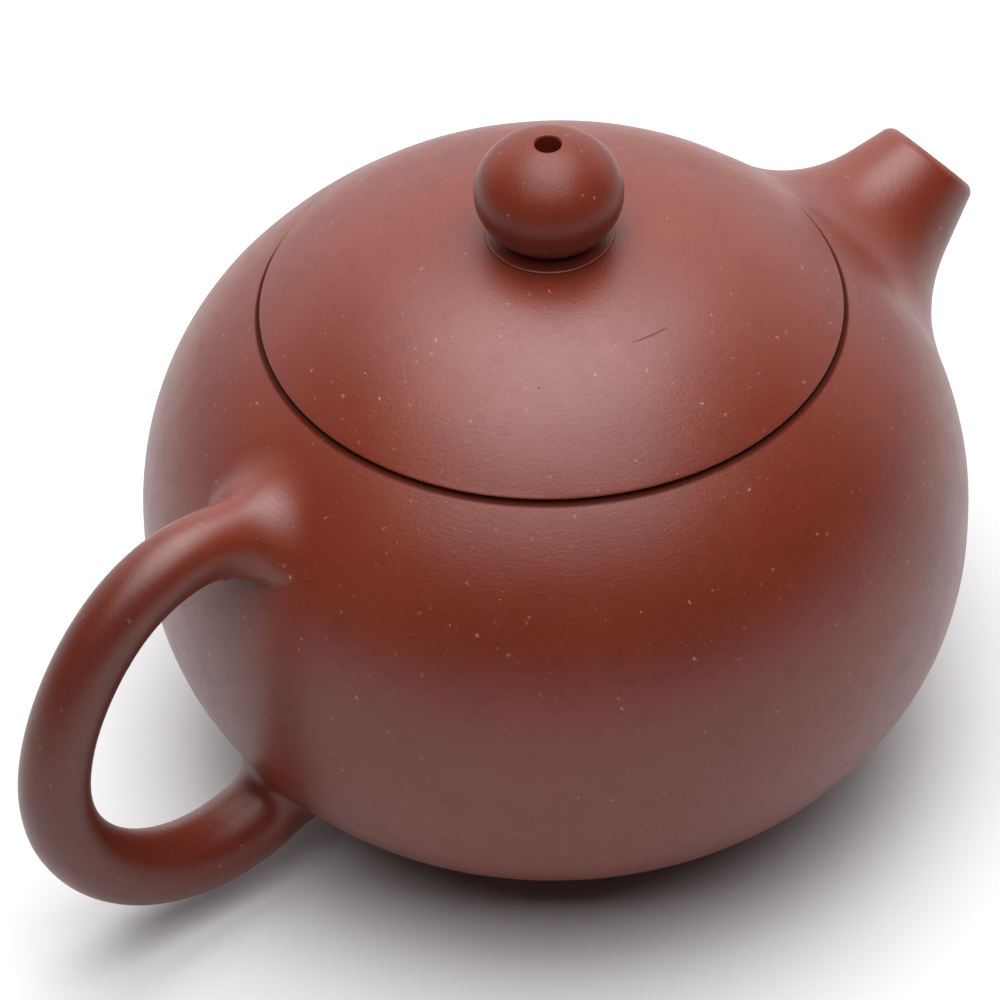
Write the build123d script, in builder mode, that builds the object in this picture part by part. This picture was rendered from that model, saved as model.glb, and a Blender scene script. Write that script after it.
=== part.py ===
from build123d import *
from math import cos, radians, sin
import os

# A small round Yixing clay teapot, made as the potter makes it: slabs, rings and rolls of clay that are
# luted together with slip. Millimetres. The origin is the centre of the foot's underside, +Z is up,
# +X points to the spout and -X to the handle.

# Globe body, outer face. Above and below the belly it is a superellipse of revolution.
belly_radius = 44.0
belly_height = 29.0
shoulder_rise = 36.1  # from the belly to the upper pole of the superellipse
shoulder_power = 2.165
basin_drop = 32.4  # from the belly to the lower pole
basin_power = 2.287
wall = 3.0

# Seams between the clay pieces of the body, as angles on the superellipse
shoulder_seam_angle = 34.0
base_seam_angle = 55.4

# Mouth and lid
mouth_land_radius = 30.6  # outer edge of the flat land that the lid rests on
mouth_radius = 26.0  # clear opening
mouth_ring_thickness = 2.8
mouth_ring_bottom = 50.4
edge_round = 0.35
lid_radius = 30.3
lid_rim_gap = 0.38  # shadow line between the lid's edge and the mouth
lid_rim_height = 0.2  # height of the lid's edge before it is rounded
lid_rim_round = 0.2
lid_rim_underside_round = 0.08
lid_apex = 66.25  # height the dome's curve would reach on the axis
dome_power = 2.9  # nearly flat under the knob, steepening towards the rim to carry the globe's curve on
dome_thickness = 2.6
seat_inset = 0.6  # how far the seat slab stands back from the lid's edge
seat_inner_radius = 22.0
seat_thickness = 1.8
seat_flat_radius = 26.3  # where the seat slab's top starts to slope down to its edge
turn_gap = 0.03  # slip line between the seat slab and the dome, so that the dome can be turned
flange_outer_radius = 25.7
flange_thickness = 2.3
flange_depth = 8.0

# Knob
knob_radius = 7.71
knob_half_height = 6.38
knob_centre_height = 71.71
collar_radius = 6.7
collar_edge = 0.3  # height of the collar's thin edge above the lid
collar_top = 67.1
collar_neck_radius = 4.9
vent_radius = 1.35

# Base and foot
foot_inner_radius = 20.6
foot_outer_radius = 25.4
foot_round = 0.7
base_rise = 1.0  # how far the base's underside is raised at its centre

# Spout
spout_tip = Vector(52.6, 0, 49.2)
spout_tilt = 24.0  # axis above the horizontal, in degrees
mouth_tilt = 38.5  # normal of the spout's cut mouth above the horizontal
spout_overrun = 3.0  # the horn runs on past its tip, then the mouth's cut trims it
# Distance back from the tip, rise of the section's centre off the axis, half width and half height
spout_sections = [
    (-spout_overrun, 0.4, 5.1, 5.1),
    (0.0, -0.3, 5.75, 5.75),
    (4.0, -1.05, 6.8, 7.0),
    (8.0, -1.35, 8.25, 8.2),
    (11.0, -1.05, 10.3, 9.2),
    (13.5, -0.7, 13.0, 10.6),
    (15.5, -0.3, 16.0, 12.2),
    (17.4, 0.0, 19.0, 13.8),
]
bore_tip_radius = 3.7
bore_root_radius = 6.4
bore_length = 24.0
bore_sag = 2.0  # how far the bore's inner end lies below the axis
lip_round = 0.7

# Ball strainer behind the spout
strainer_radius = 8.6
strainer_thickness = 1.6
strainer_hole_radius = 0.7
# Angle away from the spout's axis and number of holes in each ring
strainer_rings = [(22.0, 6), (42.0, 12), (62.0, 16)]

# Handle: points on its centreline in the XZ plane, from the upper root to the lower
handle_points = [
    (-34.5, 43.8),
    (-46.7, 48.6),
    (-58.4, 42.9),
    (-65.3, 26.0),
    (-59.7, 12.4),
    (-47.4, 6.7),
    (-33.0, 10.9),
]
# Place along the centreline, from 0 to 1, and the radius there: slimmer at the top, fuller below
handle_sections = [
    (0.00, 9.2),
    (0.05, 6.6),
    (0.10, 4.6),
    (0.16, 3.75),
    (0.30, 3.66),
    (0.45, 3.70),
    (0.60, 3.85),
    (0.74, 4.10),
    (0.85, 4.40),
    (0.91, 5.20),
    (0.96, 7.20),
    (1.00, 9.00),
]


def upper_point(angle, inset=0.0):
    """A point (radius, height) on the body above the belly, at a superellipse angle in degrees."""
    across = (belly_radius - inset) * cos(radians(angle)) ** (2 / shoulder_power)
    rise = (shoulder_rise - inset) * sin(radians(angle)) ** (2 / shoulder_power)
    return across, belly_height + rise


def lower_point(angle, inset=0.0):
    """A point (radius, height) on the body below the belly."""
    across = (belly_radius - inset) * cos(radians(angle)) ** (2 / basin_power)
    drop = (basin_drop - inset) * sin(radians(angle)) ** (2 / basin_power)
    return across, belly_height - drop


def upper_height(radius, inset=0.0):
    """Height of the body's outer face, or of a face inset from it, at a radius above the belly."""
    share = (radius / (belly_radius - inset)) ** shoulder_power
    return belly_height + (shoulder_rise - inset) * (1 - share) ** (1 / shoulder_power)


def upper_curve(radii_from, radii_to, inset=0.0, steps=6):
    """Points along the body above the belly between two radii."""
    radii = [radii_from + (radii_to - radii_from) * i / steps for i in range(steps + 1)]
    return [(radius, upper_height(radius, inset)) for radius in radii]


def arc_points(point_at, angle_from, angle_to, inset=0.0, steps=8):
    """Points along the body between two superellipse angles."""
    angles = [angle_from + (angle_to - angle_from) * i / steps for i in range(steps + 1)]
    return [point_at(angle, inset) for angle in angles]


def dome_height(radius, drop=0.0):
    """Height of the lid's upper face, or of a face that lies a given drop below it."""
    rim_height = mouth_height + lid_rim_gap + lid_rim_height
    return lid_apex - drop - (lid_apex - rim_height) * (radius / lid_radius) ** dome_power


def dome_points(radius_from, radius_to, drop=0.0, steps=8):
    """Points along the lid's upper or lower face between two radii."""
    radii = [radius_from + (radius_to - radius_from) * i / steps for i in range(steps + 1)]
    return [(radius, dome_height(radius, drop)) for radius in radii]


mouth_height = upper_height(mouth_land_radius)
shoulder_outer = upper_point(shoulder_seam_angle)
shoulder_inner = upper_point(shoulder_seam_angle, wall)
base_outer = lower_point(base_seam_angle)
base_inner = lower_point(base_seam_angle, wall)
cavity_top = upper_height(mouth_radius, wall)

# The whole outer form of the body, a tool that trims the spout and the handle to the body's face
with BuildPart() as body_form:
    with BuildSketch(Plane.XZ):
        with BuildLine():
            basin = Spline(arc_points(lower_point, base_seam_angle, 0))
            shoulder = Spline(
                arc_points(upper_point, 0, shoulder_seam_angle)
                + upper_curve(shoulder_outer[0], mouth_land_radius)[1:]
            )
            Polyline(shoulder @ 1, (0, mouth_height), (0, base_outer[1]), basin @ 0)
        make_face()
    revolve(axis=Axis.Z)

# The tea space inside the wall, a tool that trims the strainer to the wall's inner face
with BuildPart() as cavity_form:
    with BuildSketch(Plane.XZ):
        with BuildLine():
            basin = Spline(arc_points(lower_point, base_seam_angle, 0, wall))
            shoulder = Spline(
                arc_points(upper_point, 0, shoulder_seam_angle, wall)
                + upper_curve(shoulder_inner[0], mouth_radius, wall)[1:]
            )
            Polyline(shoulder @ 1, (0, cavity_top), (0, base_inner[1]), basin @ 0)
        make_face()
    revolve(axis=Axis.Z)

# Frames for the spout: one on its axis at the tip, one in the plane of its cut mouth
spout_direction = Vector(cos(radians(spout_tilt)), 0, sin(radians(spout_tilt)))
mouth_normal = Vector(cos(radians(mouth_tilt)), 0, sin(radians(mouth_tilt)))
spout_frame = Plane(origin=spout_tip, x_dir=(0, 1, 0), z_dir=spout_direction)
spout_mouth = Plane(origin=spout_tip, x_dir=(0, 1, 0), z_dir=mouth_normal)

# The spout's bore, a tool that pierces the spout and the wall
with BuildPart() as bore_form:
    with BuildSketch(spout_frame.offset(spout_overrun)):
        Circle(bore_tip_radius)
    with BuildSketch(spout_frame.offset(-bore_length)):
        with Locations((0, -bore_sag)):
            Circle(bore_root_radius)
    loft()

with BuildPart() as body_wall:
    with BuildSketch(Plane.XZ):
        with BuildLine():
            outer_basin = Spline(arc_points(lower_point, base_seam_angle, 0))
            outer_shoulder = Spline(arc_points(upper_point, 0, shoulder_seam_angle))
            inner_shoulder = Spline(arc_points(upper_point, shoulder_seam_angle, 0, wall))
            inner_basin = Spline(arc_points(lower_point, 0, base_seam_angle, wall))
            Line(outer_shoulder @ 1, inner_shoulder @ 0)
            Line(inner_basin @ 1, outer_basin @ 0)
        make_face()
    revolve(axis=Axis.Z)
    add(bore_form.part, mode=Mode.SUBTRACT)
body_wall.part.label = "body_wall"

with BuildPart() as top_disc:
    with BuildSketch(Plane.XZ):
        with BuildLine():
            outer = Spline(upper_curve(shoulder_outer[0], mouth_land_radius))
            inner = Spline(upper_curve(mouth_radius, shoulder_inner[0], wall))
            Polyline(outer @ 1, (mouth_radius, mouth_height), inner @ 0)
            Line(inner @ 1, outer @ 0)
        make_face()
    revolve(axis=Axis.Z)
    land_edges = top_disc.edges().filter_by(GeomType.CIRCLE).group_by(Axis.Z)[-1]
    fillet(land_edges.sort_by(SortBy.RADIUS)[-1], edge_round)
    add(bore_form.part, mode=Mode.SUBTRACT)
top_disc.part.label = "top_disc"

with BuildPart() as mouth_ring:
    with BuildSketch(Plane.XZ):
        with BuildLine():
            ring_outer = mouth_radius + mouth_ring_thickness
            top = Spline(upper_curve(mouth_radius, ring_outer, wall))
            Polyline(top @ 1, (ring_outer, mouth_ring_bottom), (mouth_radius, mouth_ring_bottom), top @ 0)
        make_face()
    revolve(axis=Axis.Z)
    fillet(mouth_ring.edges().filter_by(GeomType.CIRCLE).group_by(Axis.Z)[0], mouth_ring_thickness / 4)
mouth_ring.part.label = "mouth_ring"

with BuildPart() as base_disc:
    with BuildSketch(Plane.XZ):
        with BuildLine():
            foot_line = Line(base_outer, (foot_inner_radius, base_outer[1]))
            underside = Spline(foot_line @ 1, (0, base_outer[1] + base_rise), tangents=[(-1, 0.12), (-1, 0)])
            axis_line = Line(underside @ 1, (0, base_inner[1] + base_rise))
            floor = Spline(axis_line @ 1, base_inner, tangents=[(1, 0), (1, -0.05)])
            Line(floor @ 1, base_outer)
        make_face()
    revolve(axis=Axis.Z)
base_disc.part.label = "base_disc"

with BuildPart() as foot_ring:
    with BuildSketch(Plane.XZ):
        with Locations(((foot_inner_radius + foot_outer_radius) / 2, base_outer[1] / 2)):
            Rectangle(foot_outer_radius - foot_inner_radius, base_outer[1])
    revolve(axis=Axis.Z)
    fillet(foot_ring.edges().filter_by(GeomType.CIRCLE).group_by(Axis.Z)[0], foot_round)
foot_ring.part.label = "foot_ring"

with BuildPart() as spout:
    for distance, rise, half_width, half_height in spout_sections:
        with BuildSketch(spout_frame.offset(-distance)):
            with Locations((0, rise)):
                Ellipse(half_width, half_height)
    loft()
    split(bisect_by=spout_mouth, keep=Keep.BOTTOM)
    add(body_form.part, mode=Mode.SUBTRACT)
    add(bore_form.part, mode=Mode.SUBTRACT)
    lip_edges = spout.edges().filter_by(lambda edge: abs(spout_mouth.to_local_coords(edge @ 0.3).Z) < 0.01)
    fillet(lip_edges, lip_round)
spout.part.label = "spout"

with BuildPart() as handle:
    with BuildLine(Plane.XZ):
        centreline = Spline(handle_points)
    for place, radius in handle_sections:
        with BuildSketch(Plane(origin=centreline @ place, x_dir=(0, 1, 0), z_dir=centreline % place)):
            Circle(radius)
    loft()
    add(body_form.part, mode=Mode.SUBTRACT)
handle.part.label = "handle"

# Where the spout's axis meets the inner face of the wall
wall_crossing = (Edge.make_line(spout_tip, spout_tip - spout_direction * bore_length) & cavity_form.part)
strainer_centre = wall_crossing.vertices().sort_by(Axis.X)[-1].center()
strainer_frame = Plane(origin=strainer_centre, x_dir=(0, 1, 0), z_dir=spout_direction)

with BuildPart() as spout_strainer:
    with Locations(strainer_centre):
        Sphere(strainer_radius)
        Sphere(strainer_radius - strainer_thickness, mode=Mode.SUBTRACT)
    add(cavity_form.part, mode=Mode.INTERSECT)
    with Locations(strainer_frame.offset(-strainer_radius)):
        Cylinder(strainer_hole_radius, 4 * strainer_thickness, mode=Mode.SUBTRACT)
    for tilt, count in strainer_rings:
        for turn in range(count):
            swing = 360 * turn / count
            direction = Vector(0, 0, -1).rotate(Axis.X, tilt).rotate(Axis.Z, swing)
            hole = Plane(origin=(0, 0, 0), z_dir=direction).offset(strainer_radius)
            with Locations(strainer_frame.location * hole.location):
                Cylinder(strainer_hole_radius, 4 * strainer_thickness, mode=Mode.SUBTRACT)
spout_strainer.part.label = "spout_strainer"

# The lid's parts rest on the mouth's land; the seat slab's lower face is the land's height
seat_outer_radius = lid_radius - seat_inset
seat_edge_height = mouth_height + lid_rim_gap
seat_top_height = mouth_height + seat_thickness

with BuildPart() as lid_seat:
    with BuildSketch(Plane.XZ):
        with BuildLine():
            Polyline(
                (seat_inner_radius, mouth_height),
                (seat_outer_radius, mouth_height),
                (seat_outer_radius, seat_edge_height),
                (seat_flat_radius, seat_top_height),
                (seat_inner_radius, seat_top_height),
                close=True,
            )
        make_face()
    revolve(axis=Axis.Z)
lid_seat.part.label = "lid_seat"

with BuildPart() as lid_flange:
    with BuildSketch(Plane.XZ):
        with Locations((flange_outer_radius - flange_thickness / 2, mouth_height - flange_depth / 2)):
            Rectangle(flange_thickness, flange_depth)
    revolve(axis=Axis.Z)
    fillet(lid_flange.edges().filter_by(GeomType.CIRCLE).group_by(Axis.Z)[0], flange_thickness / 3)
lid_flange.part.label = "lid_flange"

with BuildPart() as lid_dome:
    with BuildSketch(Plane.XZ):
        with BuildLine():
            top_face = Spline(dome_points(vent_radius, lid_radius))
            lower_face = Spline(dome_points(seat_inner_radius, vent_radius, dome_thickness))
            Polyline(
                top_face @ 1,
                (lid_radius, seat_edge_height + turn_gap),
                (seat_outer_radius, seat_edge_height + turn_gap),
                (seat_flat_radius, seat_top_height + turn_gap),
                (seat_inner_radius, seat_top_height + turn_gap),
                lower_face @ 0,
            )
            Line(lower_face @ 1, top_face @ 0)
        make_face()
    revolve(axis=Axis.Z)
    rim_edges = lid_dome.edges().filter_by(GeomType.CIRCLE).sort_by(SortBy.RADIUS)[-2:].sort_by(Axis.Z)
    fillet(rim_edges[-1], lid_rim_round)
    fillet(rim_edges[0], lid_rim_underside_round)
lid_dome.part.label = "lid_dome"

with BuildPart() as lid_knob:
    with BuildSketch(Plane.XZ):
        with BuildLine():
            ball = EllipticalCenterArc(
                (0, knob_centre_height), knob_radius, knob_half_height, start_angle=-90, arc_size=180
            )
            Line(ball @ 1, ball @ 0)
        make_face()
    revolve(axis=Axis.Z)
    with Locations((0, 0, knob_centre_height)):
        Cylinder(vent_radius, 3 * knob_half_height, mode=Mode.SUBTRACT)
    add(lid_dome.part, mode=Mode.SUBTRACT)
lid_knob.part.label = "lid_knob"

# The collar's blank reaches down into the dome, which then trims it to the dome's face
collar_bottom = dome_height(collar_radius) - dome_thickness / 3

with BuildPart() as knob_collar:
    with BuildSketch(Plane.XZ):
        with BuildLine():
            edge_top = (collar_radius, dome_height(collar_radius) + collar_edge)
            neck = Spline(edge_top, (collar_neck_radius, collar_top), tangents=[(-1, 0.1), (-0.2, 1)])
            Polyline(neck @ 1, (vent_radius, collar_top), (vent_radius, collar_bottom))
            Polyline((vent_radius, collar_bottom), (collar_radius, collar_bottom), edge_top)
        make_face()
    revolve(axis=Axis.Z)
    add(lid_dome.part, mode=Mode.SUBTRACT)
    add(lid_knob.part, mode=Mode.SUBTRACT)
knob_collar.part.label = "knob_collar"

pieces = [
    body_wall,
    top_disc,
    mouth_ring,
    base_disc,
    foot_ring,
    spout,
    spout_strainer,
    handle,
    lid_seat,
    lid_flange,
    lid_dome,
    knob_collar,
    lid_knob,
]
os.makedirs("parts", exist_ok=True)
for piece in pieces:
    export_step(piece.part, f"parts/{piece.part.label}.step")
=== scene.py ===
import math

import bmesh
import bpy
import numpy as np
from mathutils import Matrix, Vector


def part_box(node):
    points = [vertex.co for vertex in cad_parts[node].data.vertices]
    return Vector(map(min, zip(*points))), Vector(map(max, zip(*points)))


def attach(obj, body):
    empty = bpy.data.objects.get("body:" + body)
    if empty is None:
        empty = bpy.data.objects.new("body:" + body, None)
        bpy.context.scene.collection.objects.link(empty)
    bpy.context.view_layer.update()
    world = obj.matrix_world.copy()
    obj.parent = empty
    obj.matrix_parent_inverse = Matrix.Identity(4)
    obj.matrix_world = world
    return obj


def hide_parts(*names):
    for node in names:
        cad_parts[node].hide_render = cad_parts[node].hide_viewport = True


# A small unglazed clay teapot. Shapes are worked out in millimetres and written to the meshes in metres.
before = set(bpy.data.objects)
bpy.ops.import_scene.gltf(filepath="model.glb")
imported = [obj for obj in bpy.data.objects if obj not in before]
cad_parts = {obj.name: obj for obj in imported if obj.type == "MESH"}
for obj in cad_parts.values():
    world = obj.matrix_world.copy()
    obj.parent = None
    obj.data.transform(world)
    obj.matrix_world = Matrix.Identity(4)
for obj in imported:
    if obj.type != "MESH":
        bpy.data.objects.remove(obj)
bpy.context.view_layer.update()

MM = 0.001


# ---------------------------------------------------------------------------------------------- measures
def box_mm(node):
    """Lowest and highest corner of a CAD node, in millimetres."""
    low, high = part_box(node)
    return np.array(low) / MM, np.array(high) / MM


WALL_LOW, WALL_HIGH = box_mm("body_wall")
TOP_LOW, TOP_HIGH = box_mm("top_disc")
RING_LOW, RING_HIGH = box_mm("mouth_ring")
BASE_HIGH = box_mm("base_disc")[1]
FOOT_HIGH = box_mm("foot_ring")[1]
SPOUT_HIGH = box_mm("spout")[1]
SEAT_HIGH = box_mm("lid_seat")[1]
FLANGE_LOW, FLANGE_HIGH = box_mm("lid_flange")
DOME_HIGH = box_mm("lid_dome")[1]
COLLAR_HIGH = box_mm("knob_collar")[1]
KNOB_HIGH = box_mm("lid_knob")[1]

# Globe body: a superellipse of revolution above the belly and another below it
BELLY_RADIUS = round(WALL_HIGH[1], 1)
MOUTH_HEIGHT = TOP_HIGH[2]
BELLY_HEIGHT = MOUTH_HEIGHT * 0.5155
SHOULDER_RISE, SHOULDER_POWER = BELLY_RADIUS * 0.8205, 2.165
BASIN_DROP, BASIN_POWER = BELLY_RADIUS * 0.7364, 2.287
WALL = 3.0

# Seams in the wall: their heights on the outer face, and on the inner face, which the slabs meet at a slant
SHOULDER_SEAM = TOP_LOW[2] + 1.72
SHOULDER_SEAM_INNER = SHOULDER_SEAM - WALL * 0.52
BASE_SEAM = WALL_LOW[2]
BASE_SEAM_INNER = BASE_SEAM + WALL * 0.84
BASE_FLOOR = 4.19  # height of the floor inside, where the base disc meets the wall
FOOT_INNER_RADIUS = 20.6

MOUTH_LAND_RADIUS = 30.6
MOUTH_RADIUS = 26.0
LID_RADIUS = DOME_HIGH[1]
LID_GAP = 0.38  # between the mouth's land and the lid's edge
LID_EDGE = 0.2  # height of the lid's edge
LID_APEX = 66.25
DOME_POWER = 2.9
DOME_THICKNESS = 2.6
SEAT_INNER_RADIUS = 22.0
SEAT_FLAT_RADIUS = 26.3  # where the seat slab's top starts to slope down to its edge
FLANGE_THICKNESS = 2.3
TURN_GAP = 0.03  # slip line between the seat slab and the dome
VENT_RADIUS = 1.35

KNOB_RADIUS = KNOB_HIGH[1]
KNOB_HALF_HEIGHT = KNOB_RADIUS * 0.8275
KNOB_CENTRE = KNOB_HIGH[2] + 0.09 - KNOB_HALF_HEIGHT  # the vent hole takes the ball's last 0.09 mm

COLLAR_EDGE = 0.3  # height of the collar's edge above the lid
COLLAR_SUNK = 0.3  # how far the collar is bedded into the lid
COLLAR_NECK_RADIUS, COLLAR_INNER_RADIUS = 4.9, 4.4

ROUND_SEGMENTS = 480
BASE_SEGMENTS = 240
SMALL_SEGMENTS = 192
SHARP_ANGLE = math.radians(38)


# ---------------------------------------------------------------------------------------------- curves
def unit(vectors):
    return vectors / np.linalg.norm(vectors, axis=-1, keepdims=True)


def body_radius(height, inset=0.0):
    """Radius of the body's outer face at a height, or of a face inset from it."""
    height = np.asarray(height, float)
    above = height >= BELLY_HEIGHT
    reach = np.where(above, SHOULDER_RISE, BASIN_DROP) - inset
    power = np.where(above, SHOULDER_POWER, BASIN_POWER)
    share = np.abs(height - BELLY_HEIGHT) / reach
    return (BELLY_RADIUS - inset) * np.maximum(1 - share**power, 0) ** (1 / power)


def body_height(radius, inset=0.0):
    """Height of the body's outer face above the belly at a radius, or of a face inset from it."""
    share = np.asarray(radius, float) / (BELLY_RADIUS - inset)
    return BELLY_HEIGHT + (SHOULDER_RISE - inset) * (1 - share**SHOULDER_POWER) ** (1 / SHOULDER_POWER)


def body_normal(points):
    """Outward normal of the body's outer face at points on it."""
    across = np.hypot(points[..., 0], points[..., 1])
    rise = points[..., 2] - BELLY_HEIGHT
    above = rise >= 0
    reach = np.where(above, SHOULDER_RISE, BASIN_DROP)
    power = np.where(above, SHOULDER_POWER, BASIN_POWER)
    outward = (across / BELLY_RADIUS) ** (power - 1) / BELLY_RADIUS
    upward = np.sign(rise) * (np.abs(rise) / reach) ** (power - 1) / reach
    normal = np.stack([outward * points[..., 0] / across, outward * points[..., 1] / across, upward], -1)
    return unit(normal)


def body_points(angle, height):
    """Points on the body's outer face at an angle about the pot's axis and a height."""
    radius = body_radius(height)
    level = np.broadcast_to(height, radius.shape)
    return np.stack([radius * np.cos(angle), radius * np.sin(angle), level], -1)


def body_leg(low, high, step, inset=0.0):
    """Outline points (radius, height) along the body between two heights, evenly spaced by arc length."""
    fine = np.linspace(low, high, 4000)
    points = np.stack([body_radius(fine, inset), fine], -1)
    return evenly(points, step)


def dome_height(radius, drop=0.0):
    """Height of the lid's upper face at a radius, or of a face a given drop below it."""
    rim = MOUTH_HEIGHT + LID_GAP + LID_EDGE
    return LID_APEX - drop - (LID_APEX - rim) * (np.asarray(radius, float) / LID_RADIUS) ** DOME_POWER


def dome_leg(start, end, step, drop=0.0):
    radius = np.linspace(start, end, 2000)
    return evenly(np.stack([radius, dome_height(radius, drop)], -1), step)


def evenly(points, step):
    """The same open path with points evenly spaced along it."""
    lengths = np.r_[0, np.cumsum(np.linalg.norm(np.diff(points, axis=0), axis=1))]
    count = max(2, int(round(lengths[-1] / step)) + 1)
    at = np.linspace(0, lengths[-1], count)
    return np.stack([np.interp(at, lengths, points[:, i]) for i in range(points.shape[1])], -1)


def leg(*points, step=1.0):
    """A straight or broken line through points."""
    points = np.array(points, float)
    parts = [evenly(points[i : i + 2], step) for i in range(len(points) - 1)]
    return np.vstack([parts[0]] + [part[1:] for part in parts[1:]])


def trim(path, start, end):
    """The path without its first and last stretch, given as lengths."""
    lengths = np.r_[0, np.cumsum(np.linalg.norm(np.diff(path, axis=0), axis=1))]
    keep = (lengths > start + 1e-6) & (lengths < lengths[-1] - end - 1e-6)
    ends = [start, lengths[-1] - end]
    first, last = (np.array([np.interp(e, lengths, path[:, i]) for i in range(path.shape[1])]) for e in ends)
    return np.vstack([first, path[keep], last])


def outline(legs, roundings):
    """A closed outline from legs joined end to start, with each joint rounded by its radius."""
    count = len(legs)
    cuts = []
    for i in range(count):
        before, after = legs[i], legs[(i + 1) % count]
        turn = abs(angle_between(before[-1] - before[-2], after[1] - after[0]))
        cuts.append(roundings[i] * math.tan(turn / 2) if roundings[i] else 0.0)
    trimmed = [trim(legs[i], cuts[i - 1], cuts[i]) for i in range(count)]
    pieces = []
    for i in range(count):
        before, after = trimmed[i], trimmed[(i + 1) % count]
        pieces.append(before[:-1])
        if cuts[i]:
            pieces.append(corner(before, after, roundings[i]))
    return np.vstack(pieces)


def angle_between(a, b):
    cosine = np.dot(a, b) / (np.linalg.norm(a) * np.linalg.norm(b))
    return math.acos(max(-1.0, min(1.0, cosine)))


def corner(before, after, radius, steps=8):
    """A rounded corner from the end of one leg to the start of the next, as a cubic curve."""
    leaving, arriving = unit(before[-1] - before[-2]), unit(after[1] - after[0])
    turn = angle_between(leaving, arriving)
    reach = 4 / 3 * math.tan(turn / 4) * radius
    p0, p3 = before[-1], after[0]
    return bezier(p0, p0 + leaving * reach, p3 - arriving * reach, p3, np.linspace(0, 1, steps)[:-1, None])


def bezier(p0, p1, p2, p3, t):
    return (1 - t) ** 3 * p0 + 3 * t * (1 - t) ** 2 * p1 + 3 * t**2 * (1 - t) * p2 + t**3 * p3


# ---------------------------------------------------------------------------------------------- meshes
# Unevenness left by the hand: depths and wavelengths, and how far above a sliding face it is full
SLOW_DEPTH, SLOW_WAVELENGTH = 0.07, 34.0
FINE_DEPTH, FINE_WAVELENGTH = 0.018, 9.0
STEADY_FADE = 0.5
POT_SEED, LID_SEED = 11, 23


def smooth_noise(points, wavelength, seed, waves=28):
    """Smooth random values about -1 to 1 at points, from plane waves in random directions."""
    random = np.random.default_rng(seed)
    directions = unit(random.normal(size=(waves, 3)))
    lengths = wavelength * random.uniform(0.7, 1.6, waves)
    phases = random.uniform(0, 2 * np.pi, waves)
    flat = points.reshape(-1, 3)
    total = np.zeros(len(flat))
    for direction, length, phase in zip(directions, lengths, phases):
        total += np.sin(flat @ direction * (2 * np.pi / length) + phase)
    return (total / math.sqrt(waves / 2)).reshape(points.shape[:-1]) * 0.6


def handmade(points, seed, steady=None):
    """Points moved a few hundredths of a millimetre in and out, as a hand-finished surface is.

    Steady gives the height, at a radius, of a sliding face that has to stay true. No seed moves nothing.
    """
    if seed is None:
        return points
    centre = np.array([0, 0, BELLY_HEIGHT])
    away = unit(points - centre + 1e-9)
    shift = SLOW_DEPTH * smooth_noise(points, SLOW_WAVELENGTH, seed)
    shift += FINE_DEPTH * smooth_noise(points, FINE_WAVELENGTH, seed + 1)
    if steady:
        above = points[..., 2] - steady(np.hypot(points[..., 0], points[..., 1]))
        shift *= np.clip(above / STEADY_FADE, 0, 1)
    return points + away * shift[..., None]


def grid_faces(rows, columns, wrap_rows):
    """Quads of a grid whose columns close on themselves, and whose rows may."""
    row = np.arange(rows if wrap_rows else rows - 1)[:, None]
    column = np.arange(columns)[None, :]
    next_row, next_column = (row + 1) % rows, (column + 1) % columns
    quads = [row * columns + column, row * columns + next_column]
    quads += [next_row * columns + next_column, next_row * columns + column]
    return np.stack([np.broadcast_to(q, (len(row), columns)) for q in quads], -1).reshape(-1, 4)


def end_fans(rings, around):
    """Triangles that close the first and last ring of a grid to the two points listed after it."""
    first_point, last_point, last_ring = rings * around, rings * around + 1, (rings - 1) * around
    fans = []
    for i in range(around):
        j = (i + 1) % around
        fans.append([i, first_point, j])
        fans.append([last_ring + i, last_ring + j, last_point])
    return fans


def new_piece(node, points, faces, body):
    """A mesh object from points in millimetres, riding on a CAD body in place of a CAD node."""
    mesh = bpy.data.meshes.new(node + "_clay")
    mesh.from_pydata((points * MM).tolist(), [], [list(map(int, face)) for face in faces])
    mesh.validate()
    piece = bpy.data.objects.new(node + "_clay", mesh)
    bpy.context.scene.collection.objects.link(piece)
    face_outwards(mesh)
    mesh.shade_smooth()
    mesh.set_sharp_from_angle(angle=SHARP_ANGLE)
    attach(piece, body)
    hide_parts(node)
    return piece


def face_outwards(mesh):
    shape = bmesh.new()
    shape.from_mesh(mesh)
    bmesh.ops.recalc_face_normals(shape, faces=shape.faces)
    shape.to_mesh(mesh)
    shape.free()


def lathe(node, path, body, seed, segments=ROUND_SEGMENTS, on_axis=False, steady=None):
    """A piece turned about the pot's axis from a closed outline, or from a path with both ends on it."""
    angles = np.linspace(0, 2 * np.pi, segments, endpoint=False)
    inner = path[1:-1] if on_axis else path
    radius, height = inner[:, :1], np.repeat(inner[:, 1:], segments, 1)
    points = np.stack([radius * np.cos(angles), radius * np.sin(angles), height], -1).reshape(-1, 3)
    faces = grid_faces(len(inner), segments, not on_axis).tolist()
    if on_axis:
        points = np.vstack([points, [[0, 0, path[0, 1]]], [[0, 0, path[-1, 1]]]])
        faces += end_fans(len(inner), segments)
    return new_piece(node, handmade(points, seed, steady), faces, body)


def tube(node, rings, body, seed, cap_start=None, cap_end=None):
    """A piece from rings of points, closed by a point at each end, or ring to ring if no caps are given."""
    rings = np.array(rings)
    count, around = rings.shape[:2]
    points = rings.reshape(-1, 3)
    faces = grid_faces(count, around, cap_start is None).tolist()
    if cap_start is not None:
        points = np.vstack([points, cap_start, cap_end])
        faces += end_fans(count, around)
    return new_piece(node, handmade(points, seed), faces, body)


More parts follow.
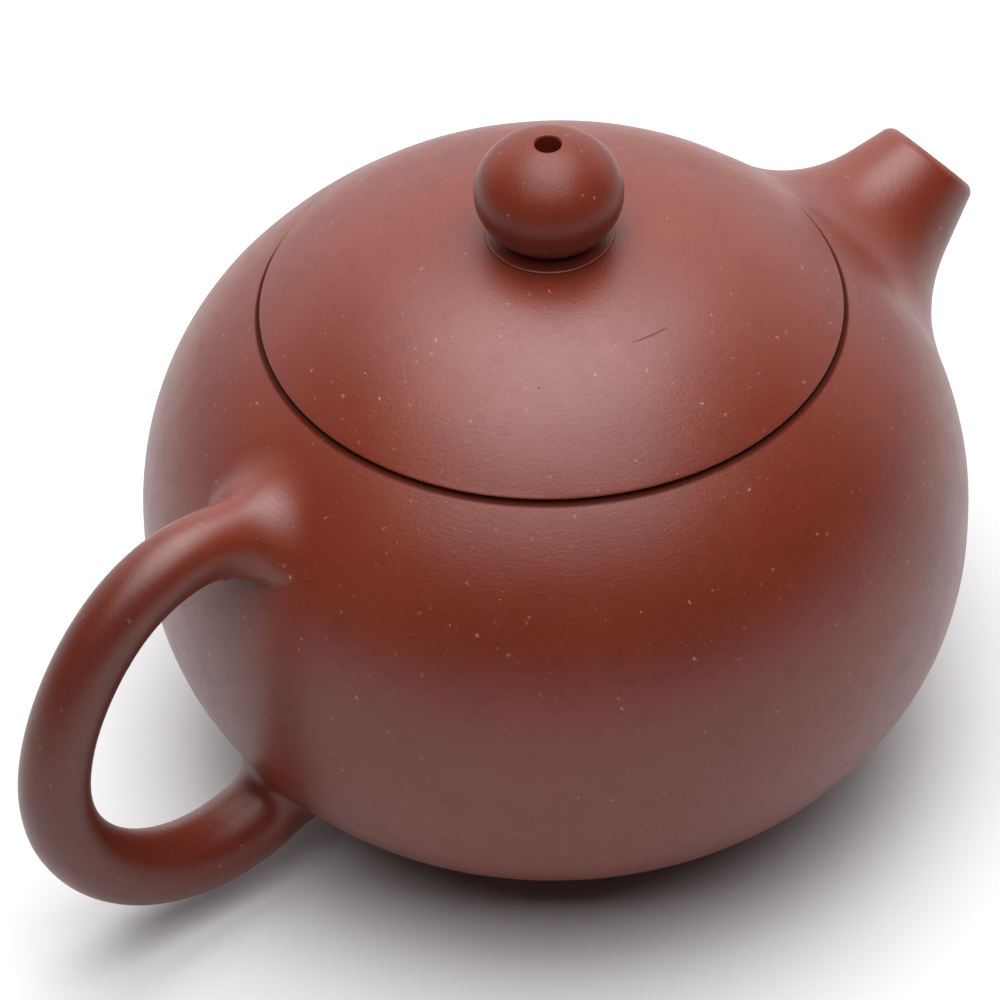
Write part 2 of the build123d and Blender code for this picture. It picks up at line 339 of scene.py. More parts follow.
# ---------------------------------------------------------------------------------------------- pot
def make_wall():
    top_outer = (body_radius(SHOULDER_SEAM), SHOULDER_SEAM)
    top_inner = (body_radius(SHOULDER_SEAM_INNER, WALL), SHOULDER_SEAM_INNER)
    base_inner = (body_radius(BASE_SEAM_INNER, WALL), BASE_SEAM_INNER)
    base_outer = (body_radius(BASE_SEAM), BASE_SEAM)
    path = outline(
        [
            body_leg(BASE_SEAM, SHOULDER_SEAM, 0.6),
            leg(top_outer, top_inner),
            body_leg(SHOULDER_SEAM_INNER, BASE_SEAM_INNER, 1.3, WALL),
            leg(base_inner, base_outer),
        ],
        [0, 0, 0, 0],
    )
    wall = lathe("body_wall", path, "pot", POT_SEED)
    pierce(wall, bore_rings(-2 * BORE_OVERRUN, BORE_LENGTH))
    return wall


def pierce(piece, rings):
    """Cuts the closed shape between rings out of a piece."""
    count, around = rings.shape[:2]
    points = rings.reshape(-1, 3)
    faces = grid_faces(count, around, False).tolist()
    faces += [list(range(around)), list(range((count - 1) * around, count * around))]
    mesh = bpy.data.meshes.new("cutter")
    mesh.from_pydata((points * MM).tolist(), [], faces)
    face_outwards(mesh)
    cutter = bpy.data.objects.new("cutter", mesh)
    bpy.context.scene.collection.objects.link(cutter)
    cut = piece.modifiers.new("bore", "BOOLEAN")
    cut.object = cutter
    cut.operation = "DIFFERENCE"
    cut.solver = "EXACT"
    bpy.context.view_layer.update()
    pierced = bpy.data.meshes.new_from_object(piece.evaluated_get(bpy.context.evaluated_depsgraph_get()))
    piece.modifiers.remove(cut)
    piece.data = pierced
    pierced.shade_smooth()
    pierced.set_sharp_from_angle(angle=SHARP_ANGLE)
    bpy.data.objects.remove(cutter)


def make_top():
    seam_radius = body_radius(SHOULDER_SEAM)
    inner_radius = body_radius(SHOULDER_SEAM_INNER, WALL)
    across = np.linspace(inner_radius, MOUTH_RADIUS, 40)
    inner_leg = np.stack([across, body_height(across, WALL)], -1)[::-1]
    path = outline(
        [
            body_leg(SHOULDER_SEAM, MOUTH_HEIGHT, 0.45),
            leg((MOUTH_LAND_RADIUS, MOUTH_HEIGHT), (MOUTH_RADIUS, MOUTH_HEIGHT)),
            leg((MOUTH_RADIUS, MOUTH_HEIGHT), (MOUTH_RADIUS, body_height(MOUTH_RADIUS, WALL)), step=0.3),
            inner_leg,
            leg((inner_radius, SHOULDER_SEAM_INNER), (seam_radius, SHOULDER_SEAM)),
        ],
        [0.3, 0.2, 0, 0, 0],
    )
    return lathe("top_disc", path, "pot", POT_SEED)


def make_mouth_ring():
    outer = RING_HIGH[1]
    across = np.linspace(MOUTH_RADIUS, outer, 12)
    bottom = RING_LOW[2]
    path = outline(
        [
            np.stack([across, body_height(across, WALL)], -1),
            leg((outer, body_height(outer, WALL)), (outer, bottom)),
            leg((outer, bottom), (MOUTH_RADIUS, bottom)),
            leg((MOUTH_RADIUS, bottom), (MOUTH_RADIUS, body_height(MOUTH_RADIUS, WALL))),
        ],
        [0, 0.7, 0.7, 0],
    )
    return lathe("mouth_ring", path, "pot", POT_SEED)


def make_base():
    """The base disc, as a path from the axis out along the underside and back along the floor."""
    rise = BASE_HIGH[2] - BASE_FLOOR
    seam_radius = body_radius(BASE_SEAM)
    inner_radius = body_radius(BASE_SEAM_INNER, WALL)
    hollow = np.linspace(0, FOOT_INNER_RADIUS, 40)
    swell = np.maximum(np.cos(np.pi / 2 * hollow / FOOT_INNER_RADIUS), 0) ** 1.5
    floor = np.linspace(inner_radius, 0, 60)
    floor_height = BASE_SEAM_INNER + rise * np.cos(np.pi / 2 * floor / inner_radius)
    path = np.vstack(
        [
            np.stack([hollow, BASE_SEAM + rise * swell], -1),
            leg((FOOT_INNER_RADIUS, BASE_SEAM), (seam_radius, BASE_SEAM))[1:],
            np.stack([floor, floor_height], -1),
        ]
    )
    return lathe("base_disc", path, "pot", POT_SEED, segments=BASE_SEGMENTS, on_axis=True)


def make_foot():
    outer, inner = FOOT_HIGH[1], FOOT_INNER_RADIUS
    path = outline(
        [
            leg((inner, FOOT_HIGH[2]), (inner, 0)),
            leg((inner, 0), (outer, 0)),
            leg((outer, 0), (outer, FOOT_HIGH[2])),
            leg((outer, FOOT_HIGH[2]), (inner, FOOT_HIGH[2])),
        ],
        [0.7, 0.7, 0, 0],
    )
    piece = lathe("foot_ring", path, "pot", POT_SEED)
    for vertex in piece.data.vertices:
        vertex.co.z = max(vertex.co.z, 0)
    return piece


# ---------------------------------------------------------------------------------------------- spout
# The tip: middle of the mouth, tilt of its plane's normal, outer radius, and rounding of the lip
TIP = np.array([SPOUT_HIGH[0] - 3.35, 0, SPOUT_HIGH[2] - 4.42])
MOUTH_TILT = math.radians(38.5)
TIP_RADIUS = 5.64
LIP_ROUND = 0.85
# The neck, where the flare ends and the straight stretch to the tip starts
NECK = TIP + np.array([-4.6, 0, -3.41])
NECK_HALF_WIDTH, NECK_HALF_HEIGHT = 7.28, 7.55
NECK_TILT = math.radians(25.5)
# The root: middle height, half width, and reach up and down the body
ROOT_HEIGHT, ROOT_HALF_WIDTH = 42.4, 20.6
ROOT_UP, ROOT_DOWN = 12.6, 12.1
SPOUT_PULLS = (0.416, 0.314)  # of the flare's curve, at the root and at the neck
# The bore widens inwards and sags a little; its wall lines start beyond the tip by the overrun
BORE_TILT = math.radians(24.0)
BORE_TIP_RADIUS, BORE_ROOT_RADIUS = 3.7, 6.4
BORE_OVERRUN, BORE_LENGTH, BORE_SAG = 3.0, 24.0, 2.0
SPOUT_AROUND = 224


def circle_points(centre, tilt, half_width, half_height, around):
    """A ring about a centre in the spout's plane of symmetry, facing outwards and up by a tilt."""
    turn = np.linspace(0, 2 * np.pi, around, endpoint=False)
    up = np.array([-math.sin(tilt), 0, math.cos(tilt)])
    side = np.array([0, 1, 0])
    return centre + np.outer(half_width * np.cos(turn), side) + np.outer(half_height * np.sin(turn), up)


def bore_rings(start, end, around=96):
    """The two rings of the spout's bore at a start and an end, as distances back from the tip."""
    along = np.array([math.cos(BORE_TILT), 0, math.sin(BORE_TILT)])
    up = np.array([-math.sin(BORE_TILT), 0, math.cos(BORE_TILT)])
    rings = []
    for distance in (start, end):
        share = (distance + BORE_OVERRUN) / (BORE_LENGTH + BORE_OVERRUN)
        radius = BORE_TIP_RADIUS + (BORE_ROOT_RADIUS - BORE_TIP_RADIUS) * share
        centre = TIP - along * distance - up * BORE_SAG * share
        rings.append(circle_points(centre, BORE_TILT, radius, radius, around))
    return np.array(rings)


def spout_root(around):
    """The closed line on the body where the spout's flare ends."""
    turn = np.linspace(0, 2 * np.pi, around, endpoint=False)
    reach = np.where(np.sin(turn) > 0, ROOT_UP, ROOT_DOWN)
    return body_points(ROOT_HALF_WIDTH * np.cos(turn) / BELLY_RADIUS, ROOT_HEIGHT + reach * np.sin(turn))


def flare(root, neck, onward, root_pull, neck_pull, rows):
    """Rings from a root line on the body to a neck ring, leaving the body along its face."""
    normal = body_normal(root)
    inward = neck - root
    span = np.linalg.norm(inward, axis=1, keepdims=True)
    inward = unit(inward - normal * (inward * normal).sum(1, keepdims=True))
    t = np.linspace(0, 1, rows)[:, None, None]
    return bezier(root, root + root_pull * span * inward, neck - neck_pull * span * onward, neck, t)


def body_patch(root, hole, rows):
    """Rings on the body's outer face from a hole's edge out to a root line, edges left out."""
    share = np.linspace(0, 1, rows + 2)[1:-1, None, None]
    return on_body(hole * (1 - share) + root * share)


def on_body(points):
    """Points moved along their radius about the pot's axis onto the body's outer face."""
    angle = np.arctan2(points[..., 1], points[..., 0])
    return body_points(angle, points[..., 2])


def spout_lip(straight_end, tip, onward, bore_edge):
    """Rings over the rounded lip, from the end of the outer wall to a millimetre down the bore."""
    across = unit(tip.mean(0) - tip)
    flat_start = tip + across * LIP_ROUND
    flat_end = bore_edge - across * LIP_ROUND * 0.8
    outer_pulls = (straight_end + onward * 0.55 * LIP_ROUND, flat_start - across * 0.5 * LIP_ROUND)
    inner_pulls = (flat_end + across * 0.5 * LIP_ROUND, bore_edge)
    t = np.linspace(0, 1, 9)[1:, None, None]
    rows = list(bezier(straight_end, *outer_pulls, flat_start, t))
    rows += [(flat_start + flat_end) / 2, flat_end]
    return rows + list(bezier(flat_end, *inner_pulls, bore_ring_from(bore_edge, 1.0), t))


def make_spout():
    """The spout, as rings up its outer wall, over the lip, down the bore and back over the body's face."""
    root = spout_root(SPOUT_AROUND)
    neck = circle_points(NECK, NECK_TILT, NECK_HALF_WIDTH, NECK_HALF_HEIGHT, SPOUT_AROUND)
    tip = circle_points(TIP, MOUTH_TILT, TIP_RADIUS, TIP_RADIUS, SPOUT_AROUND)
    onward = unit(tip - neck)
    straight_end = tip - onward * LIP_ROUND * 1.1
    share = np.linspace(0, 1, 14)[1:, None, None]
    bore_edge, hole = bore_mouth(tip), bore_on_body()
    rows = list(flare(root, neck, onward, *SPOUT_PULLS, 46))
    rows += list(neck + (straight_end - neck) * share)
    rows += spout_lip(straight_end, tip, onward, bore_edge)
    rows += [bore_ring_from(bore_edge, depth) for depth in np.linspace(2.0, 9.0, 8)]
    rows += [hole] + list(body_patch(root, hole, 14))
    return tube("spout", rows, "pot", POT_SEED)


def bore_lines():
    """Start and direction of the bore's wall lines, one for each point round a ring."""
    near, far = bore_rings(-BORE_OVERRUN, BORE_LENGTH, SPOUT_AROUND)
    return near, unit(far - near)


def bore_mouth(tip):
    """Where the bore's wall lines pass through the plane of the spout's mouth."""
    facing = np.array([math.cos(MOUTH_TILT), 0, math.sin(MOUTH_TILT)])
    near, direction = bore_lines()
    travel = ((tip.mean(0) - near) @ facing) / (direction @ facing)
    return near + direction * travel[:, None]


def bore_ring_from(edge, depth):
    return edge + bore_lines()[1] * depth


def bore_on_body():
    """Where the bore's wall lines reach the body's outer face."""
    near, direction = bore_lines()
    low, high = np.zeros(len(near)), np.full(len(near), BORE_LENGTH)
    for _ in range(40):
        middle = (low + high) / 2
        points = near + direction * middle[:, None]
        outside = np.hypot(points[:, 0], points[:, 1]) > body_radius(points[:, 2])
        low, high = np.where(outside, middle, low), np.where(outside, high, middle)
    return near + direction * low[:, None]


# ---------------------------------------------------------------------------------------------- handle
# Places on the handle's centreline (mm across from the pot's axis, mm up), from the upper root to the lower
HANDLE_COURSE = [
    (-37.8, 46.1),
    (-46.7, 48.7),
    (-54.4, 46.3),
    (-60.5, 40.2),
    (-64.4, 32.1),
    (-65.1, 23.2),
    (-61.8, 15.0),
    (-55.2, 9.0),
    (-46.1, 6.7),
    (-35.0, 9.9),
]
HANDLE_RADII = [3.62, 3.68, 3.75, 4.08, 4.39]  # evenly spaced from the upper root to the lower
HANDLE_AROUND = 128
# Roots: half width, height of the middle, reach on the outer side of the loop and on the inner side, measured
# upwards and downwards, so both are negative at the lower root, whose outer side is below
UPPER_ROOT = (9.6, 47.4, 7.2, 4.0)
LOWER_ROOT = (6.0, 10.9, -7.2, -3.7)
UPPER_NECK, LOWER_NECK = 9.0, 6.9  # how far from the ends of the course the roots start to flare
UPPER_PULLS, LOWER_PULLS = (0.5, 0.42), (0.34, 0.42)  # of each flare's curve, at the root and at the neck


def smooth_course(points, count):
    """A natural cubic curve through points, evenly sampled by chord length, and its directions."""
    points = np.array(points, float)
    knots = np.r_[0, np.cumsum(np.linalg.norm(np.diff(points, axis=0), axis=1))]
    width = np.diff(knots)
    last = len(points) - 1
    matrix, rise = np.eye(last + 1), np.zeros_like(points)
    for i in range(1, last):
        matrix[i, i - 1 : i + 2] = width[i - 1], 2 * (width[i - 1] + width[i]), width[i]
        rise[i] = 6 * ((points[i + 1] - points[i]) / width[i] - (points[i] - points[i - 1]) / width[i - 1])
    bend = np.linalg.solve(matrix, rise)
    at = np.linspace(0, knots[-1], count)
    k = np.clip(np.searchsorted(knots, at, side="right") - 1, 0, last - 1)
    h, a, b = (v[:, None] for v in (width[k], knots[k + 1] - at, at - knots[k]))
    course = (bend[k] * a**3 + bend[k + 1] * b**3) / (6 * h)
    course += (points[k] / h - bend[k] * h / 6) * a + (points[k + 1] / h - bend[k + 1] * h / 6) * b
    return course, unit(np.gradient(course, axis=0))


def handle_root(half_width, height, up, down, turn):
    """The closed line on the body round a handle root, on the side away from the spout."""
    reach = np.where(np.sin(turn) > 0, up, down)
    return body_points(np.pi - half_width * np.cos(turn) / BELLY_RADIUS, height + reach * np.sin(turn))


def handle_rings(course, along, turn):
    """Round sections of the handle across its course, turned alike towards the outside of the loop."""
    radius = np.interp(np.linspace(0, 1, len(course)), np.linspace(0, 1, len(HANDLE_RADII)), HANDLE_RADII)
    outer = np.stack([along[:, 1], -along[:, 0]], -1)
    outer *= -np.sign(outer[len(outer) // 2, 0])
    reach = radius[:, None] * np.sin(turn)
    across = course[:, :1] + reach * outer[:, :1]
    up = course[:, 1:] + reach * outer[:, 1:]
    return np.stack([across, radius[:, None] * np.cos(turn), up], -1)


def make_handle():
    turn = np.linspace(0, 2 * np.pi, HANDLE_AROUND, endpoint=False)
    course, along = smooth_course(HANDLE_COURSE, 150)
    rings = handle_rings(course, along, turn)
    travelled = np.r_[0, np.cumsum(np.linalg.norm(np.diff(course, axis=0), axis=1))]
    first = np.searchsorted(travelled, UPPER_NECK)
    last = np.searchsorted(travelled, travelled[-1] - LOWER_NECK)
    upper, lower = handle_root(*UPPER_ROOT, turn), handle_root(*LOWER_ROOT, turn)
    upper_onward, lower_onward = unit(rings[first + 1] - rings[first]), unit(rings[last - 1] - rings[last])
    start = flare(upper, rings[first], upper_onward, *UPPER_PULLS, 30)
    end = flare(lower, rings[last], lower_onward, *LOWER_PULLS, 26)
    start_cap, start_rings = root_cap(upper)
    end_cap, end_rings = root_cap(lower)
    rows = np.concatenate([start_rings, start, rings[first + 1 : last], end[::-1], end_rings[::-1]])
    return tube("handle", rows, "pot", POT_SEED, start_cap, end_cap)


def root_cap(root):
    """The patch of body face inside a root line, as a middle point and rings out towards the line."""
    middle = on_body(root.mean(0))
    share = np.linspace(0, 1, 10)[1:-1, None, None]
    return middle, on_body(middle * (1 - share) + root * share)


# ---------------------------------------------------------------------------------------------- lid
def make_seat():
    inner, outer = SEAT_INNER_RADIUS, SEAT_HIGH[1]
    low, high = MOUTH_HEIGHT, SEAT_HIGH[2]
    path = outline(
        [
            leg((inner, high), (inner, low)),
            leg((inner, low), (outer, low)),
            leg((outer, low), (outer, low + LID_GAP), step=0.3),
            leg((outer, low + LID_GAP), (SEAT_FLAT_RADIUS, high)),
            leg((SEAT_FLAT_RADIUS, high), (inner, high)),
        ],
        [0.2, 0.15, 0, 0, 0.2],
    )
    return lathe("lid_seat", path, "lid_base", seed=None)


def make_flange():
    outer = FLANGE_HIGH[1]
    inner = outer - FLANGE_THICKNESS
    low, high = FLANGE_LOW[2], FLANGE_HIGH[2]
    path = outline(
        [
            leg((inner, high), (inner, low)),
            leg((inner, low), (outer, low)),
            leg((outer, low), (outer, high)),
            leg((outer, high), (inner, high)),
        ],
        [0.75, 0.75, 0, 0],
    )
    return lathe("lid_flange", path, "lid_base", seed=None)


def make_dome():
    edge = MOUTH_HEIGHT + LID_GAP + TURN_GAP
    seat_outer, seat_inner, seat_top = SEAT_HIGH[1], SEAT_INNER_RADIUS, SEAT_HIGH[2] + TURN_GAP
    vent_low, vent_high = dome_height(VENT_RADIUS, DOME_THICKNESS), dome_height(VENT_RADIUS)
    path = outline(
        [
            dome_leg(VENT_RADIUS, LID_RADIUS, 0.45),
            leg((LID_RADIUS, dome_height(LID_RADIUS)), (LID_RADIUS, edge), step=0.3),
            leg((LID_RADIUS, edge), (seat_outer, edge), step=0.3),
            leg((seat_outer, edge), (SEAT_FLAT_RADIUS, seat_top), (seat_inner, seat_top)),
            leg((seat_inner, seat_top), (seat_inner, dome_height(seat_inner, DOME_THICKNESS))),
            dome_leg(seat_inner, VENT_RADIUS, 1.2, DOME_THICKNESS),
            leg((VENT_RADIUS, vent_low), (VENT_RADIUS, vent_high)),
        ],
        [0.2, 0.08, 0, 0, 0, 0, 0],
    )

    def underside(radius):
        return np.interp(radius, [SEAT_FLAT_RADIUS, seat_outer], [seat_top, edge])

    return lathe("lid_dome", path, "lid_cap", LID_SEED, steady=underside)


def make_knob():
    turn = np.linspace(-np.pi / 2, np.pi / 2, 2000)
    ball = np.stack([KNOB_RADIUS * np.cos(turn), KNOB_CENTRE + KNOB_HALF_HEIGHT * np.sin(turn)], -1)
    above = ball[:, 1] > dome_height(ball[:, 0])
    ball = ball[above & (ball[:, 0] > VENT_RADIUS)]
    bottom = dome_leg(VENT_RADIUS, ball[0, 0], 0.4)
    bore = leg(ball[-1], (VENT_RADIUS, dome_height(VENT_RADIUS)), step=0.6)
    path = outline([evenly(ball, 0.25), bore, bottom], [0.3, 0, 0])
    return lathe("lid_knob", path, "lid_cap", LID_SEED, segments=SMALL_SEGMENTS)


def make_collar():
    radius, top = COLLAR_HIGH[1], COLLAR_HIGH[2]
    neck, inner = COLLAR_NECK_RADIUS, COLLAR_INNER_RADIUS
    edge = dome_height(radius) + COLLAR_EDGE
    bottom = dome_height(radius) - COLLAR_SUNK
    pulls = np.array([[radius, edge], [radius - 0.9, edge + 0.02], [neck + 0.4, edge + 0.25], [neck, top]])
    path = outline(
        [
            leg((radius, bottom), (radius, edge), step=0.1),
            evenly(bezier(*pulls, np.linspace(0, 1, 40)[:, None]), 0.15),
            leg((neck, top), (inner, top)),
            leg((inner, top), (inner, bottom)),
            leg((inner, bottom), (radius, bottom)),
        ],
        [0.26, 0, 0, 0, 0],
    )
    return lathe("knob_collar", path, "lid_cap", LID_SEED, segments=SMALL_SEGMENTS)


# ---------------------------------------------------------------------------------------------- clay
class Nodes:
    """Short ways to add shader nodes to a material."""

    def __init__(self, tree):
        self.tree = tree

    def add(self, kind, inputs=(), **settings):
        node = self.tree.nodes.new("ShaderNode" + kind)
        for key, value in settings.items():
            setattr(node, key, value)
        for key, value in dict(inputs).items():
            if isinstance(value, bpy.types.NodeSocket):
                self.tree.links.new(value, node.inputs[key])
            else:
                node.inputs[key].default_value = value
        return node

    def math(self, operation, *values):
        return self.add("Math", dict(enumerate(values)), operation=operation).outputs[0]

    def noise(self, vector, scale, detail=2.0, rough=0.5):
        inputs = {"Vector": vector, "Scale": scale, "Detail": detail, "Roughness": rough}
        return self.add("TexNoise", inputs).outputs["Fac"]

    def ramp(self, value, low, high, to_low=0.0, to_high=1.0):
        inputs = {"Value": value, "From Min": low, "From Max": high, "To Min": to_low, "To Max": to_high}
        return self.add("MapRange", inputs).outputs["Result"]

    def spots(self, vector, spacing, size):
        """Scattered grains of uneven size and strength: up to 1 inside a grain, 0 outside. Sizes in mm."""
        cells = self.add("TexVoronoi", {"Vector": vector, "Scale": 1 / spacing, "Randomness": 1.0})
        chance = self.add("SeparateColor", {"Color": cells.outputs["Color"]}).outputs
        reach = self.ramp(chance[0], 0.0, 1.0, 0.2 * size / spacing, size / spacing)
        grains = self.ramp(self.math("DIVIDE", cells.outputs["Distance"], reach), 1.0, 0.3)
        return self.math("MULTIPLY", grains, self.ramp(chance[1], 0.0, 1.0, 0.35, 1.0))

    def mix(self, share, a, b):
        node = self.add("Mix", {"Factor": share}, data_type="RGBA")
        for socket, value in zip((node.inputs[6], node.inputs[7]), (a, b)):
            if isinstance(value, bpy.types.NodeSocket):
                self.tree.links.new(value, socket)
            else:
                socket.default_value = value
        return node.outputs[2]


CLAY = (0.140, 0.0185, 0.0080, 1)
CLAY_DARK = (0.104, 0.013, 0.0058, 1)
CLAY_WARM = (0.162, 0.0235, 0.0100, 1)
SPECK = (0.56, 0.34, 0.25, 1)
PIT = (0.05, 0.012, 0.008, 1)
# Dark clay for the knob, the scratch and part of the handle's tone; also painted shade in the gap under the
# lid's edge and on the handle
DARK_CLAY_AND_PAINTED_SHADE = (0.022, 0.005, 0.003, 1)
ROUGHNESS = 0.36
BUMP_DEPTH = 0.03  # mm, of the finest relief
KNOB_SHADE, KNOB_SHINE = 0.14, 0.3  # the knob is darker and less shiny than the rest
# Grains: spacing and size (mm)
SPECKS, DUST, PITS = (1.55, 0.24), (0.8, 0.1), (3.1, 0.2)
# Painted shadow where the lid's edge meets the mouth: its line, and how far from the line the painted shade
# starts and stops fading
JOINT_RADIUS = LID_RADIUS + 0.12
JOINT_HEIGHT = MOUTH_HEIGHT - 0.05
JOINT_FADE, JOINT_PAINTED_SHADE = (0.2, 0.58), 0.85
# The handle is painted darker than the body, partly its own browner tone and partly painted shade for the
# dimmer light on it: from where to where along x this grows, and how strong it is
HANDLE_FADE, HANDLE_TONE_AND_PAINTED_SHADE = (-43.0, -56.0), 0.32
# The scratch on the lid: its middle, slope and bend, how its half width and half length run out, and the
# height above which it shows
SCRATCH_MIDDLE = (-0.74, -17.53)
SCRATCH_SLOPE, SCRATCH_BEND = -0.082, 0.025
SCRATCH_WIDTH, SCRATCH_LENGTH = (0.03, 0.09), (1.3, 2.3)
SCRATCH_ABOVE = 60.0
# Burnishing strokes: how many fit in a radian round the pot, and in a millimetre across them
STROKES_ROUND, STROKES_ACROSS = 16.0, 2.1


def clay_grains(n, vector):
    """Pale specks and finer dust, both ragged, and small round pits."""
    wobble = n.add("TexNoise", {"Vector": vector, "Scale": 4.0}).outputs["Color"]
    ragged = n.add("VectorMath", {0: vector, 1: wobble}, operation="ADD").outputs["Vector"]
    return n.spots(ragged, *SPECKS), n.spots(ragged, *DUST), n.spots(vector, *PITS)


def painted_joint_shadow(n, across, height):
    """Painted shadow in the gap under the lid's edge, where it meets the mouth: 0 away from it."""
    aside = n.math("POWER", n.math("SUBTRACT", across, JOINT_RADIUS), 2.0)
    above = n.math("POWER", n.math("SUBTRACT", height, JOINT_HEIGHT), 2.0)
    return n.ramp(n.math("SQRT", n.math("ADD", aside, above)), *JOINT_FADE, JOINT_PAINTED_SHADE, 0.0)


def lid_scratch(n, axes):
    """One shallow scratch on the lid, beside the knob: 1 in it, 0 away from it."""
    run = n.math("SUBTRACT", axes[0], SCRATCH_MIDDLE[0])
    bow = n.math("MULTIPLY", n.math("POWER", run, 2.0), SCRATCH_BEND)
    level = n.math("SUBTRACT", axes[1], n.math("MULTIPLY", run, SCRATCH_SLOPE))
    beside = n.math("SUBTRACT", level, n.math("ADD", bow, SCRATCH_MIDDLE[1]))
    width = n.ramp(n.math("ABSOLUTE", beside), *SCRATCH_WIDTH, 1.0, 0.0)
    length = n.ramp(n.math("ABSOLUTE", run), *SCRATCH_LENGTH, 1.0, 0.0)
    on_lid = n.math("GREATER_THAN", axes[2], SCRATCH_ABOVE)
    return n.math("MULTIPLY", n.math("MULTIPLY", width, length), on_lid)


def burnishing(n, axes, across):
    """Fine strokes that run round the pot: long in the turning direction, narrow across it."""
    turn = n.math("MULTIPLY", n.math("ARCTAN2", axes[1], axes[0]), STROKES_ROUND)
    level = n.math("MULTIPLY", n.math("SUBTRACT", across, axes[2]), STROKES_ACROSS)
    return n.noise(n.add("CombineXYZ", {0: turn, 1: level}).outputs[0], 1.0, 3.0, 0.6)


def clay_material(name, shade=0.0, shine=0.5):
    """Burnished, unglazed clay: mottled red-brown with pale grit, small pits and faint burnishing strokes."""
    material = bpy.data.materials.new(name)
    material.use_nodes = True
    shader = material.node_tree.nodes["Principled BSDF"]
    n = Nodes(material.node_tree)
    place = n.add("TexCoord").outputs["Object"]
    vector = n.add("VectorMath", {0: place, "Scale": 1 / MM}, operation="SCALE").outputs[0]
    axes = n.add("SeparateXYZ", {0: vector}).outputs
    across = n.math("SQRT", n.math("ADD", n.math("POWER", axes[0], 2.0), n.math("POWER", axes[1], 2.0)))

    clouds = n.noise(vector, 0.045, 3.0)
    patches = n.noise(vector, 0.33, 4.0, 0.6)
    grain = n.noise(vector, 3.2, 3.0, 0.65)
    specks, dust, pits = clay_grains(n, vector)
    joint_shadow = painted_joint_shadow(n, across, axes[2])
    scratch = lid_scratch(n, axes)
    strokes = burnishing(n, axes, across)

    colour = n.mix(n.ramp(clouds, 0.35, 0.65), CLAY, CLAY_WARM)
    layers = [
        (n.ramp(patches, 0.55, 0.75, 0.0, 0.55), CLAY_DARK),
        (n.ramp(grain, 0.56, 0.8, 0.0, 0.5), CLAY_DARK),
        (n.math("MULTIPLY", specks, 0.5), SPECK),
        (n.math("MULTIPLY", dust, 0.35), SPECK),
        (n.math("MULTIPLY", pits, 0.6), PIT),
        (shade, DARK_CLAY_AND_PAINTED_SHADE),
        # painted shadow in the gap under the lid's edge
        (joint_shadow, DARK_CLAY_AND_PAINTED_SHADE),
        # the handle darkened away from the body: partly its own browner tone, partly painted shade for the
        # dimmer light on it
        (n.ramp(axes[0], *HANDLE_FADE, 0.0, HANDLE_TONE_AND_PAINTED_SHADE), DARK_CLAY_AND_PAINTED_SHADE),
        (n.math("MULTIPLY", scratch, 0.5), DARK_CLAY_AND_PAINTED_SHADE),
    ]
    for share, tint in layers:
        colour = n.mix(share, colour, tint)

    rough = n.ramp(strokes, 0.3, 0.7, ROUGHNESS - 0.03, ROUGHNESS + 0.04)
    rough = n.math("ADD", rough, n.ramp(patches, 0.3, 0.7, -0.02, 0.03))

    height = n.math("MULTIPLY", strokes, 0.45)
    for relief, strength in [(grain, 0.85), (pits, -2.0), (scratch, -1.5), (specks, 0.5)]:
        height = n.math("ADD", height, n.math("MULTIPLY", relief, strength))
    bump = n.add("Bump", {"Height": height, "Distance": BUMP_DEPTH * MM, "Strength": 1.0}).outputs["Normal"]

    links = material.node_tree.links
    links.new(colour, shader.inputs["Base Color"])
    links.new(rough, shader.inputs["Roughness"])
    links.new(bump, shader.inputs["Normal"])
    # the painted shadow under the lid's edge also takes the shine away there, so it stays dark
    links.new(n.ramp(joint_shadow, 0.0, 0.6, shine, 0.02), shader.inputs["Specular IOR Level"])
    shader.inputs["IOR"].default_value = 1.5
    return material


# ---------------------------------------------------------------------------------------------- build
pot_pieces = [make_wall(), make_top(), make_mouth_ring(), make_base(), make_foot()]
pot_pieces += [make_spout(), make_handle()]
lid_pieces = [make_seat(), make_flange(), make_dome(), make_knob(), make_collar()]
clay = clay_material("clay")
knob_clay = clay_material("clay_of_the_knob", KNOB_SHADE, KNOB_SHINE)
for piece in pot_pieces + lid_pieces:
    piece.data.materials.clear()
    piece.data.materials.append(knob_clay if piece.name == "lid_knob_clay" else clay)

# The strainer shows as its CAD solid, in the same clay
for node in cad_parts.values():
    for material_slot in node.material_slots:
        material_slot.material = clay


# ---------------------------------------------------------------------------------------------- stage
# The stage is measured in metres and degrees
CAMERA_AZIMUTH, CAMERA_ELEVATION, CAMERA_ROLL = -37.5, 42.13, -1.712
CAMERA_DISTANCE = 0.6329
CAMERA_AIM = (-0.00461, 0.00374, 0.02926)
CAMERA_LENS, CAMERA_SENSOR = 213.2, 36.0  # mm
AWAY_FROM_CAMERA = (0.609, 0.793, 0.0)
FLOOR_HALF = 3.0
FLOOR_COLOUR = (0.72, 0.72, 0.73, 1)
SKY_COLOUR = (0.97, 0.985, 1, 1)
SKY_DIM, SKY_BRIGHT = 0.02, 1.4


def make_floor():
    mesh = bpy.data.meshes.new("floor")
    corners = [(-FLOOR_HALF, -FLOOR_HALF, 0), (FLOOR_HALF, -FLOOR_HALF, 0)]
    corners += [(FLOOR_HALF, FLOOR_HALF, 0), (-FLOOR_HALF, FLOOR_HALF, 0)]
    mesh.from_pydata(corners, [], [(0, 1, 2, 3)])
    floor = bpy.data.objects.new("floor", mesh)
    bpy.context.scene.collection.objects.link(floor)
    material = bpy.data.materials.new("floor")
    material.use_nodes = True
    shader = material.node_tree.nodes["Principled BSDF"]
    shader.inputs["Base Color"].default_value = FLOOR_COLOUR
    shader.inputs["Roughness"].default_value = 0.9
    shader.inputs["Specular IOR Level"].default_value = 0.2
    mesh.materials.append(material)


